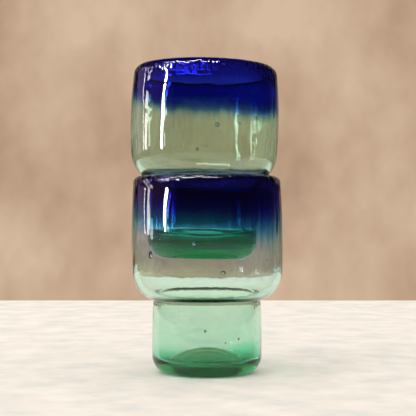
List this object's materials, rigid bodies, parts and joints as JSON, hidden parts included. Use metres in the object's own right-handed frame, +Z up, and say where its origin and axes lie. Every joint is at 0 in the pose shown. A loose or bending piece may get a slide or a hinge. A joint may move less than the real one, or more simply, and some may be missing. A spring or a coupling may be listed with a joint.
{
  "type": "cortado glass",
  "caption": "Stepped hand-blown glass for short milky coffee: a wide blue-rimmed bowl on a narrow green foot, which nests in the bowl of a like glass that it stands on.",
  "frame": {"origin": "centre of the flat ring that the lower glass stands on, in the plane of that ring", "axes": "+Z up the lower glass's axis, +X to the right of the picture, towards which the upper glass leans, and +Y away from the camera"},
  "size_m": [0.0683, 0.068, 0.1372],
  "materials": {
    "green_glass": "fire-polished, with a few small air bubbles",
    "clear_glass": "fire-polished, slightly rippled",
    "celadon_glass": "fire-polished, slightly rippled",
    "cobalt_glass": "fire-polished, fading out downwards"
  },
  "bodies": {
    "lower_glass": {"lower_foot": "green_glass", "lower_bowl": "clear_glass", "lower_rim": "cobalt_glass"},
    "upper_glass": {"upper_foot": "green_glass", "upper_bowl": "celadon_glass", "upper_rim": "cobalt_glass"}
  },
  "joints": [
    {"name": "lift", "type": "slide", "parent": "lower_glass", "child": "upper_glass", "axis": [0, 0, 1], "range_m": [0, 0.09]}
  ]
}
